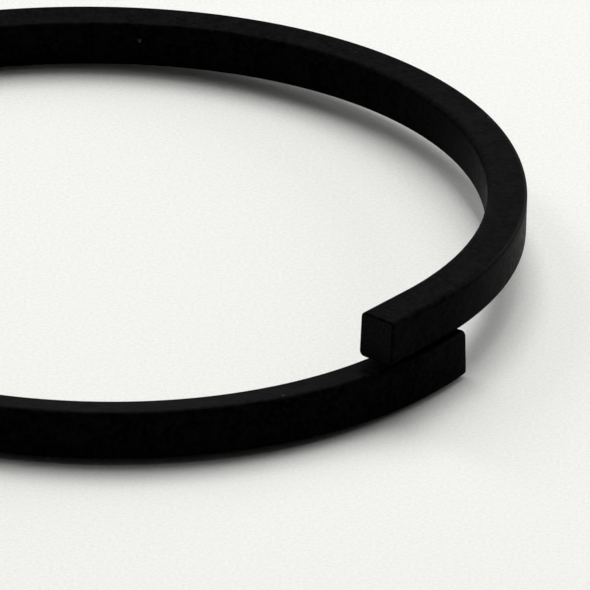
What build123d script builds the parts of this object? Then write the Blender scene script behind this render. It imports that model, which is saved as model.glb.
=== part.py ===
from build123d import *
from math import ceil, cos, degrees, pi, radians, sin
import os

os.makedirs("parts", exist_ok=True)

# Piston seal ring, in millimetres. The ring is one piece, cut through once, and it lies
# free: from its back it rises along the right side, and its raised end laps over the end
# that stays down and rests on it, a little further in. The lap twists the ring, so its
# section leans over, most at the front and less towards both ends, and the free ring is a
# little out of round: it stands out at the back right.
# The origin is on the floor, on the ring's axis. Angles are in degrees, anticlockwise
# from +X seen from above, so -90 is the front and 90 the back.

# Section of the ring
outer_diameter = 65.0
radial_width = 2.9
axial_height = 3.5
edge_radius = 0.4
cut_edge_radius = 0.15

# Cut end that lies on the floor, and where the ring leaves the floor
seated_end_angle = -30.5
rise_start_angle = 104.0

# Raised end: its clearance and slope over the seated one, the slope as a share of the
# mean one, and the lengths that go on past the seated cut, first round and then straight
lap_clearance = 0.05
end_slope_share = 0.5
lap_arc_length = 3.4
straight_end_length = 5.1

# How far the raised end is set in, and where it begins to turn inwards
raised_end_inset = 0.5
inset_start_angle = 60.0

# Lean of the section's top towards the axis: an even change along the ring, from the front
# to the raised end, and how far round the smaller lean of the seated cut eases into it
front_lean = 10.5
raised_end_lean = 0.0
seated_end_lean = 4.0
lean_ease_angle = 45.0

# Where the ring stands out from a true circle, and how far to each side of that
bulge = 1.3
bulge_angle = 62.0
bulge_half_angle = 65.0

# Spacing of the sections that the ring is drawn through
section_step = 12.0

mid_radius = outer_diameter / 2 - radial_width / 2
lap_arc_angle = degrees(lap_arc_length / mid_radius)
ring_arc_angle = 360 + lap_arc_angle


def half_rise(lean):
    """Height of the section's middle above its lowest point, when it leans over."""
    across = (radial_width / 2 - edge_radius) * abs(sin(radians(lean)))
    upright = (axial_height / 2 - edge_radius) * cos(radians(lean))
    return across + upright + edge_radius


def lean_at(turn):
    """Lean of the section: an even change, less what is missing near the seated cut."""
    even_lean = front_lean + (raised_end_lean - front_lean) * turn / ring_arc_angle
    ease_share = min(turn / lean_ease_angle, 1)
    return even_lean - (front_lean - seated_end_lean) * (1 + cos(pi * ease_share)) / 2


def lift_at(turn):
    """Height of the section's lowest point: a smooth climb to the lap, and straight on."""
    rise_start = 360 + seated_end_angle - rise_start_angle
    share = max((turn - rise_start) / (360 - rise_start), 0)
    full_lift = 2 * half_rise(seated_end_lean) + lap_clearance
    if share > 1:
        return full_lift * (1 + end_slope_share * (share - 1))
    return full_lift * ((3 - end_slope_share) * share**2 + (end_slope_share - 2) * share**3)


def radius_at(turn):
    """Radius of the ring's middle line: a circle with a bulge, set in at its raised end."""
    off = (seated_end_angle - turn - bulge_angle + 180) % 360 - 180
    bulge_share = min(abs(off) / bulge_half_angle, 1)
    inset_start = 360 + seated_end_angle - inset_start_angle
    inset_share = (turn - inset_start) / (ring_arc_angle - inset_start)
    inset_share = min(max(inset_share, 0), 1)
    outwards = bulge * (1 + cos(pi * bulge_share)) / 2
    return mid_radius + outwards - raised_end_inset * (1 - cos(pi * inset_share)) / 2


def section_plane(turn):
    """Plane across the ring, at a turn from its seated end back round to its raised end."""
    angle = seated_end_angle - turn
    outward = Vector(1, 0, 0).rotate(Axis.Z, angle)
    along = Vector(0, -1, 0).rotate(Axis.Z, angle)
    lean = lean_at(turn)
    middle = outward * radius_at(turn) + Vector(0, 0, lift_at(turn) + half_rise(lean))
    return Plane(origin=middle, x_dir=outward.rotate(Axis((0, 0, 0), along), lean), z_dir=along)


def ring_section():
    """Section of the ring, drawn in the sketch that is open."""
    RectangleRounded(radial_width, axial_height, edge_radius)


with BuildPart() as piston_ring:
    # The whole turn, from the seated cut to where the raised end turns straight
    step_count = ceil(ring_arc_angle / section_step)
    for i in range(step_count + 1):
        with BuildSketch(section_plane(ring_arc_angle * i / step_count)):
            ring_section()
    loft()

    # Straight raised end, which goes on at the slope that the ring has there
    straight_start = section_plane(ring_arc_angle)
    straight_turn = degrees(straight_end_length / mid_radius)
    straight_rise = lift_at(ring_arc_angle + straight_turn) - lift_at(ring_arc_angle)
    straight_run = straight_start.z_dir * straight_end_length + Vector(0, 0, straight_rise)
    with BuildSketch(straight_start):
        ring_section()
    extrude(amount=straight_run.length, dir=straight_run.normalized())

    # Broken edges around both cut faces
    for cut_middle in (section_plane(0).origin, straight_start.origin + straight_run):
        cut_face = piston_ring.faces().sort_by_distance(cut_middle)[0]
        fillet(cut_face.edges(), cut_edge_radius)

piston_ring.part.label = "piston_ring"
export_step(piston_ring.part, "parts/piston_ring.step")
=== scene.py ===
from math import cos, degrees, pi, radians, sin

import bpy
from mathutils import Matrix, Vector


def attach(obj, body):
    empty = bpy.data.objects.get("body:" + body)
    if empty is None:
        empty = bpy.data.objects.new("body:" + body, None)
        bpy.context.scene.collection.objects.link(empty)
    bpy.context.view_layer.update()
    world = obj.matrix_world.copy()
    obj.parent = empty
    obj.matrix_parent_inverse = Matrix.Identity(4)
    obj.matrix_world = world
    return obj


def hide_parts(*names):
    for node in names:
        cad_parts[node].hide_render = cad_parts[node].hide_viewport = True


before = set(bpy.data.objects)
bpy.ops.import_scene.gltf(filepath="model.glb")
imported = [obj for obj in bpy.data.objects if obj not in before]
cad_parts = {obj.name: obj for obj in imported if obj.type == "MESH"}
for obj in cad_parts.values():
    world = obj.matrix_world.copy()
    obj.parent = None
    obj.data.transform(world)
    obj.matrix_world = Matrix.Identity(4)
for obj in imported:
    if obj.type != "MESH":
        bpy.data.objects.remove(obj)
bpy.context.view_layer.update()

MM = 0.001
PER_MM = (1 / MM, 1 / MM, 1 / MM)

# Ring, in millimetres and degrees, with the same values as its CAD source
OUTER_DIAMETER = 65.0
RADIAL_WIDTH = 2.9
AXIAL_HEIGHT = 3.5
EDGE_RADIUS = 0.4
CUT_EDGE_RADIUS = 0.15
SEATED_END_ANGLE = -30.5
RISE_START_ANGLE = 104.0
LAP_CLEARANCE = 0.05
END_SLOPE_SHARE = 0.5
LAP_ARC_LENGTH = 3.4
STRAIGHT_END_LENGTH = 5.1
RAISED_END_INSET = 0.5
INSET_START_ANGLE = 60.0
FRONT_LEAN = 10.5
RAISED_END_LEAN = 0.0
SEATED_END_LEAN = 4.0
LEAN_EASE_ANGLE = 45.0
BULGE = 1.3
BULGE_ANGLE = 62.0
BULGE_HALF_ANGLE = 65.0

MID_RADIUS = OUTER_DIAMETER / 2 - RADIAL_WIDTH / 2
RING_ARC_ANGLE = 360 + degrees(LAP_ARC_LENGTH / MID_RADIUS)
RING_ARC_LENGTH = radians(RING_ARC_ANGLE) * MID_RADIUS
RING_LENGTH = RING_ARC_LENGTH + STRAIGHT_END_LENGTH

# Fineness of the ring's mesh, and the sizes of the cut faces' inner loops as shares
STATION_STEP = 0.45
CORNER_POINTS = 9
CUT_EDGE_STEPS = 6
SIDE_SHARES = (0.03, 0.25, 0.5, 0.75, 0.97)
CAP_SHARES = (0.8, 0.5, 0.2)

# Camera, fitted to the photograph's edges
CAMERA_DISTANCE = 44.117 * MID_RADIUS * MM
CAMERA_ELEVATION = 26.952
CAMERA_YAW = 0.741
CAMERA_PITCH = 27.044
CAMERA_ROLL = 2.931
FOCAL_LENGTH_PX = 18993
FRAME_WIDTH_PX = 590
SENSOR_WIDTH = 36.0
CLIP_START = 0.05
CLIP_END = 50.0

# Colours of the plastic, of its cut faces and of the paper under it
PTFE_DARK = (0.0002, 0.0002, 0.0002, 1)
PTFE_LIGHT = (0.0046, 0.0050, 0.0049, 1)
PTFE_WORN = (0.0050, 0.0053, 0.0053, 1)
CUT_DARK = (0.0070, 0.0066, 0.0066, 1)
CUT_LIGHT = (0.0160, 0.0150, 0.0150, 1)
SPECK = (0.04, 0.04, 0.042, 1)
FLOOR_DARK = (0.80, 0.797, 0.774, 1)
FLOOR_LIGHT = (0.955, 0.951, 0.924, 1)

# Noises of the finish: scale per millimetre, or the scales along the axes of the ring's map
GRAIN_SCALE = 2.6
PATCH_SCALE = 0.8
SPECK_SCALE = 1.7
CUT_GRAIN_SCALE = 4.0
FLOOR_GRAIN_SCALE = 4.0
LATHE_STRETCH = (0.12, 14.0, 1.0)
BLADE_STRETCH = (7.0, 0.5, 1.0)

# How much fine detail a noise has
SPECK_DETAIL = 0.0
PLAIN_DETAIL = 2.0
FINE_DETAIL = 3.0
PLAIN_NOISE_ROUGHNESS = 0.5
FLOOR_NOISE_ROUGHNESS = 0.7

# Ranges of the noises over which one colour goes over into the next
GRAIN_RANGE = (0.42, 0.75)
PATCH_RANGE = (0.45, 0.75)
PATCH_STRENGTH = 0.6
SPECK_RANGE = (0.89, 0.91)
CUT_GRAIN_RANGE = (0.35, 0.7)
FLOOR_GRAIN_RANGE = (0.25, 0.75)

# Gloss: the grain's range over which the roughness changes, the roughness, and the IOR
GLOSS_RANGE = (0.3, 0.7)
PTFE_ROUGHNESS = (0.3, 0.5)
CUT_ROUGHNESS = (0.55, 0.7)
FLOOR_ROUGHNESS = 0.9
PTFE_IOR = 1.036
FLOOR_IOR = 1.2

# Bumps: strength, and height in metres
GRAIN_BUMP = (0.45, 0.00005)
LATHE_BUMP = (0.12, 0.00003)
CUT_BUMP = (0.3, 0.00004)

# Places of the colours among the sockets of a mix node
MIX_FIRST = 6
MIX_SECOND = 7
MIX_RESULT = 2

# Width of the floor in metres
FLOOR_SIZE = 12.0

# Soft lights: azimuth and elevation in degrees, width and height in metres, power in watts
SOFTBOXES = {
    "key": (95, 58, 1.20, 1.50, 35.2),
    "top": (115, 75, 0.68, 1.20, 8.0),
    "left": (135, 35, 0.68, 1.20, 13.2),
    "right": (65, 45, 0.68, 1.20, 15.2),
    "low_right": (45, 15, 1.20, 1.20, 24.8),
}
LIGHT_DISTANCE = 2.4
WORLD_FILL = 0.02


# Shape of the ring

def half_rise(lean):
    """Height of the section's middle above its lowest point, when it leans over."""
    across = (RADIAL_WIDTH / 2 - EDGE_RADIUS) * abs(sin(radians(lean)))
    upright = (AXIAL_HEIGHT / 2 - EDGE_RADIUS) * cos(radians(lean))
    return across + upright + EDGE_RADIUS


def lean_at(turn):
    """Lean of the section: an even change, less what is missing near the seated cut."""
    even_lean = FRONT_LEAN + (RAISED_END_LEAN - FRONT_LEAN) * turn / RING_ARC_ANGLE
    ease_share = min(turn / LEAN_EASE_ANGLE, 1)
    return even_lean - (FRONT_LEAN - SEATED_END_LEAN) * (1 + cos(pi * ease_share)) / 2


def lift_at(turn):
    """Height of the section's lowest point: a smooth climb to the lap, and straight on."""
    rise_start = 360 + SEATED_END_ANGLE - RISE_START_ANGLE
    share = max((turn - rise_start) / (360 - rise_start), 0)
    full_lift = 2 * half_rise(SEATED_END_LEAN) + LAP_CLEARANCE
    if share > 1:
        return full_lift * (1 + END_SLOPE_SHARE * (share - 1))
    return full_lift * ((3 - END_SLOPE_SHARE) * share**2 + (END_SLOPE_SHARE - 2) * share**3)


def radius_at(turn):
    """Radius of the ring's middle line: a circle with a bulge, set in at its raised end."""
    off = (SEATED_END_ANGLE - turn - BULGE_ANGLE + 180) % 360 - 180
    bulge_share = min(abs(off) / BULGE_HALF_ANGLE, 1)
    inset_start = 360 + SEATED_END_ANGLE - INSET_START_ANGLE
    inset_share = (turn - inset_start) / (RING_ARC_ANGLE - inset_start)
    inset_share = min(max(inset_share, 0), 1)
    outwards = BULGE * (1 + cos(pi * bulge_share)) / 2
    return MID_RADIUS + outwards - RAISED_END_INSET * (1 - cos(pi * inset_share)) / 2


def station(length):
    """Middle, outward axis and upward axis of the section at a length along the ring."""
    turn = degrees(min(length, RING_ARC_LENGTH) / MID_RADIUS)
    angle = radians(SEATED_END_ANGLE - turn)
    lean = lean_at(turn)
    radial = Vector((cos(angle), sin(angle), 0))
    along = Vector((sin(angle), -cos(angle), 0))
    lift = lift_at(degrees(length / MID_RADIUS))
    middle = radial * radius_at(turn) + Vector((0, 0, lift + half_rise(lean)))
    middle += along * max(length - RING_ARC_LENGTH, 0)
    tilt = Matrix.Rotation(radians(lean), 3, along)
    return middle, tilt @ radial, tilt @ Vector((0, 0, 1))


def section_outline(inset):
    """Points of the rounded section, drawn in by an inset, in order round its edge."""
    half_width = RADIAL_WIDTH / 2 - EDGE_RADIUS
    half_height = AXIAL_HEIGHT / 2 - EDGE_RADIUS
    radius = EDGE_RADIUS - inset
    corners = []
    for number, (side_x, side_y) in enumerate(((1, 1), (-1, 1), (-1, -1), (1, -1))):
        turns = [pi / 2 * (number + i / (CORNER_POINTS - 1)) for i in range(CORNER_POINTS)]
        corners.append([(side_x * half_width + radius * cos(a),
                         side_y * half_height + radius * sin(a)) for a in turns])
    outline = []
    for number, corner in enumerate(corners):
        (ax, ay), (bx, by) = corner[-1], corners[(number + 1) % 4][0]
        outline += corner
        outline += [(ax + (bx - ax) * s, ay + (by - ay) * s) for s in SIDE_SHARES]
    return outline


def ring_stations():
    """Lengths along the ring, each with its outline's inset: the cut edges are rounded."""
    rounding = []
    for i in range(CUT_EDGE_STEPS + 1):
        a = pi / 2 * i / CUT_EDGE_STEPS
        rounding.append((CUT_EDGE_RADIUS * (1 - sin(a)), CUT_EDGE_RADIUS * (1 - cos(a))))
    seated_end = [(length, inset) for inset, length in rounding]
    raised_end = [(RING_LENGTH - length, inset) for length, inset in reversed(seated_end)]
    plain_length = RING_LENGTH - 2 * CUT_EDGE_RADIUS
    count = round(plain_length / STATION_STEP)
    plain = [(CUT_EDGE_RADIUS + plain_length * i / count, 0) for i in range(1, count)]
    return seated_end + plain + raised_end


def add_cap(outline, inset_outline, length, flip, vertices, faces, strip):
    """A cut face: loops that close in on the middle of the section, in the section's plane."""
    middle, outward, upward = station(length)
    ring_size = len(outline)
    loops = [outline]
    for share in CAP_SHARES:
        loops.append(list(range(len(vertices), len(vertices) + ring_size)))
        for x, y in inset_outline:
            vertices.append((middle + outward * x * share + upward * y * share) * MM)
            strip.append((x * share, y * share))
    loops.append([len(vertices)] * ring_size)
    vertices.append(middle * MM)
    strip.append((0.0, 0.0))
    for outer, inner in zip(loops, loops[1:]):
        for j in range(ring_size):
            k = (j + 1) % ring_size
            face = [outer[j], outer[k], inner[k], inner[j]]
            if inner[j] == inner[k]:
                face.pop()
            faces.append(face[::-1] if flip else face)


def make_ring():
    """The whole ring as one closed mesh, with a map of lengths in millimetres for its finish."""
    vertices, faces, corners = [], [], []
    stations = ring_stations()
    outline = section_outline(0)
    ring_size = len(outline)
    for length, inset in stations:
        middle, outward, upward = station(length)
        for x, y in section_outline(inset):
            vertices.append((middle + outward * x + upward * y) * MM)

    # Sides, with each corner's lengths along and around the ring
    steps = [(Vector(a) - Vector(b)).length for a, b in zip(outline[1:] + outline[:1], outline)]
    around = [sum(steps[:j]) for j in range(ring_size + 1)]
    for i in range(len(stations) - 1):
        first, second = i * ring_size, (i + 1) * ring_size
        low, high = stations[i][0], stations[i + 1][0]
        for j in range(ring_size):
            k = (j + 1) % ring_size
            faces.append((first + j, first + k, second + k, second + j))
            corners += [(low, around[j]), (low, around[j + 1]),
                        (high, around[j + 1]), (high, around[j])]
    side_faces = len(faces)

    # Cut faces, with each vertex's place in the section
    strip = [None] * len(vertices)
    inset_outline = section_outline(CUT_EDGE_RADIUS)
    last = (len(stations) - 1) * ring_size
    seated_rim = list(range(ring_size))
    raised_rim = list(range(last, last + ring_size))
    for j, point in enumerate(inset_outline):
        strip[seated_rim[j]] = point
        strip[raised_rim[j]] = point
    add_cap(seated_rim, inset_outline, 0, True, vertices, faces, strip)
    add_cap(raised_rim, inset_outline, RING_LENGTH, False, vertices, faces, strip)

    mesh = bpy.data.meshes.new("piston_ring_skin")
    mesh.from_pydata(vertices, [], faces)
    layer = mesh.uv_layers.new(name="strip")
    for face in mesh.polygons:
        for corner in face.loop_indices:
            if face.index < side_faces:
                layer.data[corner].uv = corners[corner]
            else:
                layer.data[corner].uv = strip[mesh.loops[corner].vertex_index]
        face.use_smooth = True
        face.material_index = int(face.index >= side_faces)
    mesh.validate()
    ring = bpy.data.objects.new("piston_ring_skin", mesh)
    bpy.context.scene.collection.objects.link(ring)
    return ring


# Materials

def node(tree, kind, **values):
    """A shader node, with its properties and its inputs set by name."""
    made = tree.nodes.new(kind)
    for name, value in values.items():
        if hasattr(made, name):
            setattr(made, name, value)
        else:
            made.inputs[name.replace("_", " ")].default_value = value
    return made


def coordinates(tree, output, scale=(1.0, 1.0, 1.0)):
    """Texture coordinates, scaled along each axis."""
    source = node(tree, "ShaderNodeTexCoord")
    mapping = node(tree, "ShaderNodeMapping", Scale=scale)
    tree.links.new(source.outputs[output], mapping.inputs["Vector"])
    return mapping.outputs["Vector"]


def noise(tree, vector, scale=1.0, detail=PLAIN_DETAIL, roughness=PLAIN_NOISE_ROUGHNESS):
    """Noise between 0 and 1 over the given coordinates."""
    made = node(tree, "ShaderNodeTexNoise", Scale=scale, Detail=detail, Roughness=roughness)
    tree.links.new(vector, made.inputs["Vector"])
    return made.outputs["Fac"]


def spread(tree, value, old_range, new_range=(0, 1)):
    """A value moved from one range to another, and held inside it."""
    made = node(tree, "ShaderNodeMapRange")
    names = ("From Min", "From Max", "To Min", "To Max")
    for name, number in zip(names, old_range + new_range):
        made.inputs[name].default_value = number
    tree.links.new(value, made.inputs["Value"])
    return made.outputs["Result"]


def mixed(tree, share, first, second):
    """A colour between two colours."""
    made = node(tree, "ShaderNodeMix", data_type="RGBA")
    tree.links.new(share, made.inputs["Factor"])
    for place, colour in ((MIX_FIRST, first), (MIX_SECOND, second)):
        socket = made.inputs[place]
        if isinstance(colour, tuple):
            socket.default_value = colour
        else:
            tree.links.new(colour, socket)
    return made.outputs[MIX_RESULT]


def bumped(tree, height, size, under=None):
    """A bump of a strength and a height in metres, over an optional first bump."""
    strength, distance = size
    made = node(tree, "ShaderNodeBump", Strength=strength, Distance=distance)
    tree.links.new(height, made.inputs["Height"])
    if under:
        tree.links.new(under, made.inputs["Normal"])
    return made.outputs["Normal"]


def new_material(name):
    """A new material, its node tree and its shader."""
    material = bpy.data.materials.new(name)
    material.use_nodes = True
    shader = material.node_tree.nodes["Principled BSDF"]
    return material, material.node_tree, shader


def filled_ptfe():
    """Black filled plastic: fine mottled grain, faint lathe lines round the ring, pale specks."""
    material, tree, shader = new_material("filled_ptfe")
    solid = coordinates(tree, "Object", PER_MM)
    lines = coordinates(tree, "UV", LATHE_STRETCH)

    grain = noise(tree, solid, GRAIN_SCALE)
    patches = noise(tree, solid, PATCH_SCALE)
    lathe = noise(tree, lines)
    specks = noise(tree, solid, SPECK_SCALE, SPECK_DETAIL)

    patch_share = spread(tree, patches, PATCH_RANGE, (0, PATCH_STRENGTH))
    body = mixed(tree, spread(tree, grain, GRAIN_RANGE), PTFE_DARK, PTFE_LIGHT)
    body = mixed(tree, patch_share, body, PTFE_WORN)
    body = mixed(tree, spread(tree, specks, SPECK_RANGE), body, SPECK)
    roughness = spread(tree, grain, GLOSS_RANGE, PTFE_ROUGHNESS)
    tree.links.new(body, shader.inputs["Base Color"])
    tree.links.new(roughness, shader.inputs["Roughness"])
    shader.inputs["IOR"].default_value = PTFE_IOR
    bump = bumped(tree, grain, GRAIN_BUMP)
    bump = bumped(tree, lathe, LATHE_BUMP, bump)
    tree.links.new(bump, shader.inputs["Normal"])
    return material


def cut_face():
    """The cut faces: the same plastic, a little rougher, with marks of the blade across."""
    material, tree, shader = new_material("cut_face")
    marks = noise(tree, coordinates(tree, "UV", BLADE_STRETCH))
    grain = noise(tree, coordinates(tree, "UV"), CUT_GRAIN_SCALE, FINE_DETAIL)
    body = mixed(tree, spread(tree, grain, CUT_GRAIN_RANGE), CUT_DARK, CUT_LIGHT)
    roughness = spread(tree, grain, GLOSS_RANGE, CUT_ROUGHNESS)
    tree.links.new(body, shader.inputs["Base Color"])
    tree.links.new(roughness, shader.inputs["Roughness"])
    shader.inputs["IOR"].default_value = PTFE_IOR
    bump = bumped(tree, marks, CUT_BUMP)
    bump = bumped(tree, grain, CUT_BUMP, bump)
    tree.links.new(bump, shader.inputs["Normal"])
    return material


def floor_paper():
    """Plain pale paper under the ring, with a fine grain."""
    material, tree, shader = new_material("floor_paper")
    solid = coordinates(tree, "Object", PER_MM)
    grain = noise(tree, solid, FLOOR_GRAIN_SCALE, FINE_DETAIL, FLOOR_NOISE_ROUGHNESS)
    body = mixed(tree, spread(tree, grain, FLOOR_GRAIN_RANGE), FLOOR_DARK, FLOOR_LIGHT)
    tree.links.new(body, shader.inputs["Base Color"])
    shader.inputs["Roughness"].default_value = FLOOR_ROUGHNESS
    shader.inputs["IOR"].default_value = FLOOR_IOR
    return material


# Stage

def make_floor():
    """A wide plain floor that the ring lies on."""
    half = FLOOR_SIZE / 2
    mesh = bpy.data.meshes.new("floor")
    corners = [(-half, -half, 0), (half, -half, 0), (half, half, 0), (-half, half, 0)]
    mesh.from_pydata(corners, [], [(0, 1, 2, 3)])
    floor = bpy.data.objects.new("floor", mesh)
    bpy.context.scene.collection.objects.link(floor)
    floor.data.materials.append(floor_paper())


def make_softbox(name, azimuth, elevation, width, height, power):
    """A soft light that faces the ring, placed by its azimuth and elevation in degrees."""
    light = bpy.data.lights.new(name, "AREA")
    light.shape = "RECTANGLE"
    light.size = width
    light.size_y = height
    light.energy = power
    lamp = bpy.data.objects.new(name, light)
    bpy.context.scene.collection.objects.link(lamp)
    azimuth, elevation = radians(azimuth), radians(elevation)
    level = cos(elevation)
    direction = Vector((level * cos(azimuth), level * sin(azimuth), sin(elevation)))
    lamp.location = direction * LIGHT_DISTANCE
    lamp.rotation_euler = direction.to_track_quat("Z", "Y").to_euler()
    lamp.visible_camera = False


def make_world():
    """Weak light from all round, seen as white by the camera and in reflections."""
    world = bpy.data.worlds.new("studio")
    bpy.context.scene.world = world
    world.use_nodes = True
    tree = world.node_tree
    background = tree.nodes["Background"]
    background.inputs["Color"].default_value = (1, 1, 1, 1)
    path = node(tree, "ShaderNodeLightPath")
    seen = path.outputs["Is Camera Ray"]
    for ray in ("Is Glossy Ray", "Is Transmission Ray"):
        either = node(tree, "ShaderNodeMath", operation="MAXIMUM")
        tree.links.new(seen, either.inputs[0])
        tree.links.new(path.outputs[ray], either.inputs[1])
        seen = either.outputs["Value"]
    strength = spread(tree, seen, (0, 1), (WORLD_FILL, 1))
    tree.links.new(strength, background.inputs["Strength"])


def make_camera():
    """The photograph's camera: far off, with a long lens, a little rolled."""
    camera = bpy.data.objects.new("camera", bpy.data.cameras.new("camera"))
    bpy.context.scene.collection.objects.link(camera)
    camera.data.sensor_fit = "HORIZONTAL"
    camera.data.sensor_width = SENSOR_WIDTH
    camera.data.lens = FOCAL_LENGTH_PX / FRAME_WIDTH_PX * SENSOR_WIDTH
    camera.data.clip_start = CLIP_START
    camera.data.clip_end = CLIP_END
    elevation, yaw = radians(CAMERA_ELEVATION), radians(CAMERA_YAW)
    pitch, roll = radians(CAMERA_PITCH), radians(CAMERA_ROLL)
    place = Vector((0, -cos(elevation), sin(elevation))) * CAMERA_DISTANCE
    forward = Vector((sin(yaw) * cos(pitch), cos(yaw) * cos(pitch), -sin(pitch)))
    level = Vector((cos(yaw), -sin(yaw), 0))
    upright = level.cross(forward)
    right = level * cos(roll) + upright * sin(roll)
    up = upright * cos(roll) - level * sin(roll)
    axes = Matrix((right, up, -forward)).transposed().to_4x4()
    camera.matrix_world = Matrix.Translation(place) @ axes
    bpy.context.scene.camera = camera


ring = make_ring()
ring.data.materials.append(filled_ptfe())
ring.data.materials.append(cut_face())
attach(ring, "root")
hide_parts("piston_ring")

make_floor()
for name, values in SOFTBOXES.items():
    make_softbox(name, *values)
make_world()
make_camera()

bpy.context.scene.view_settings.view_transform = "Standard"
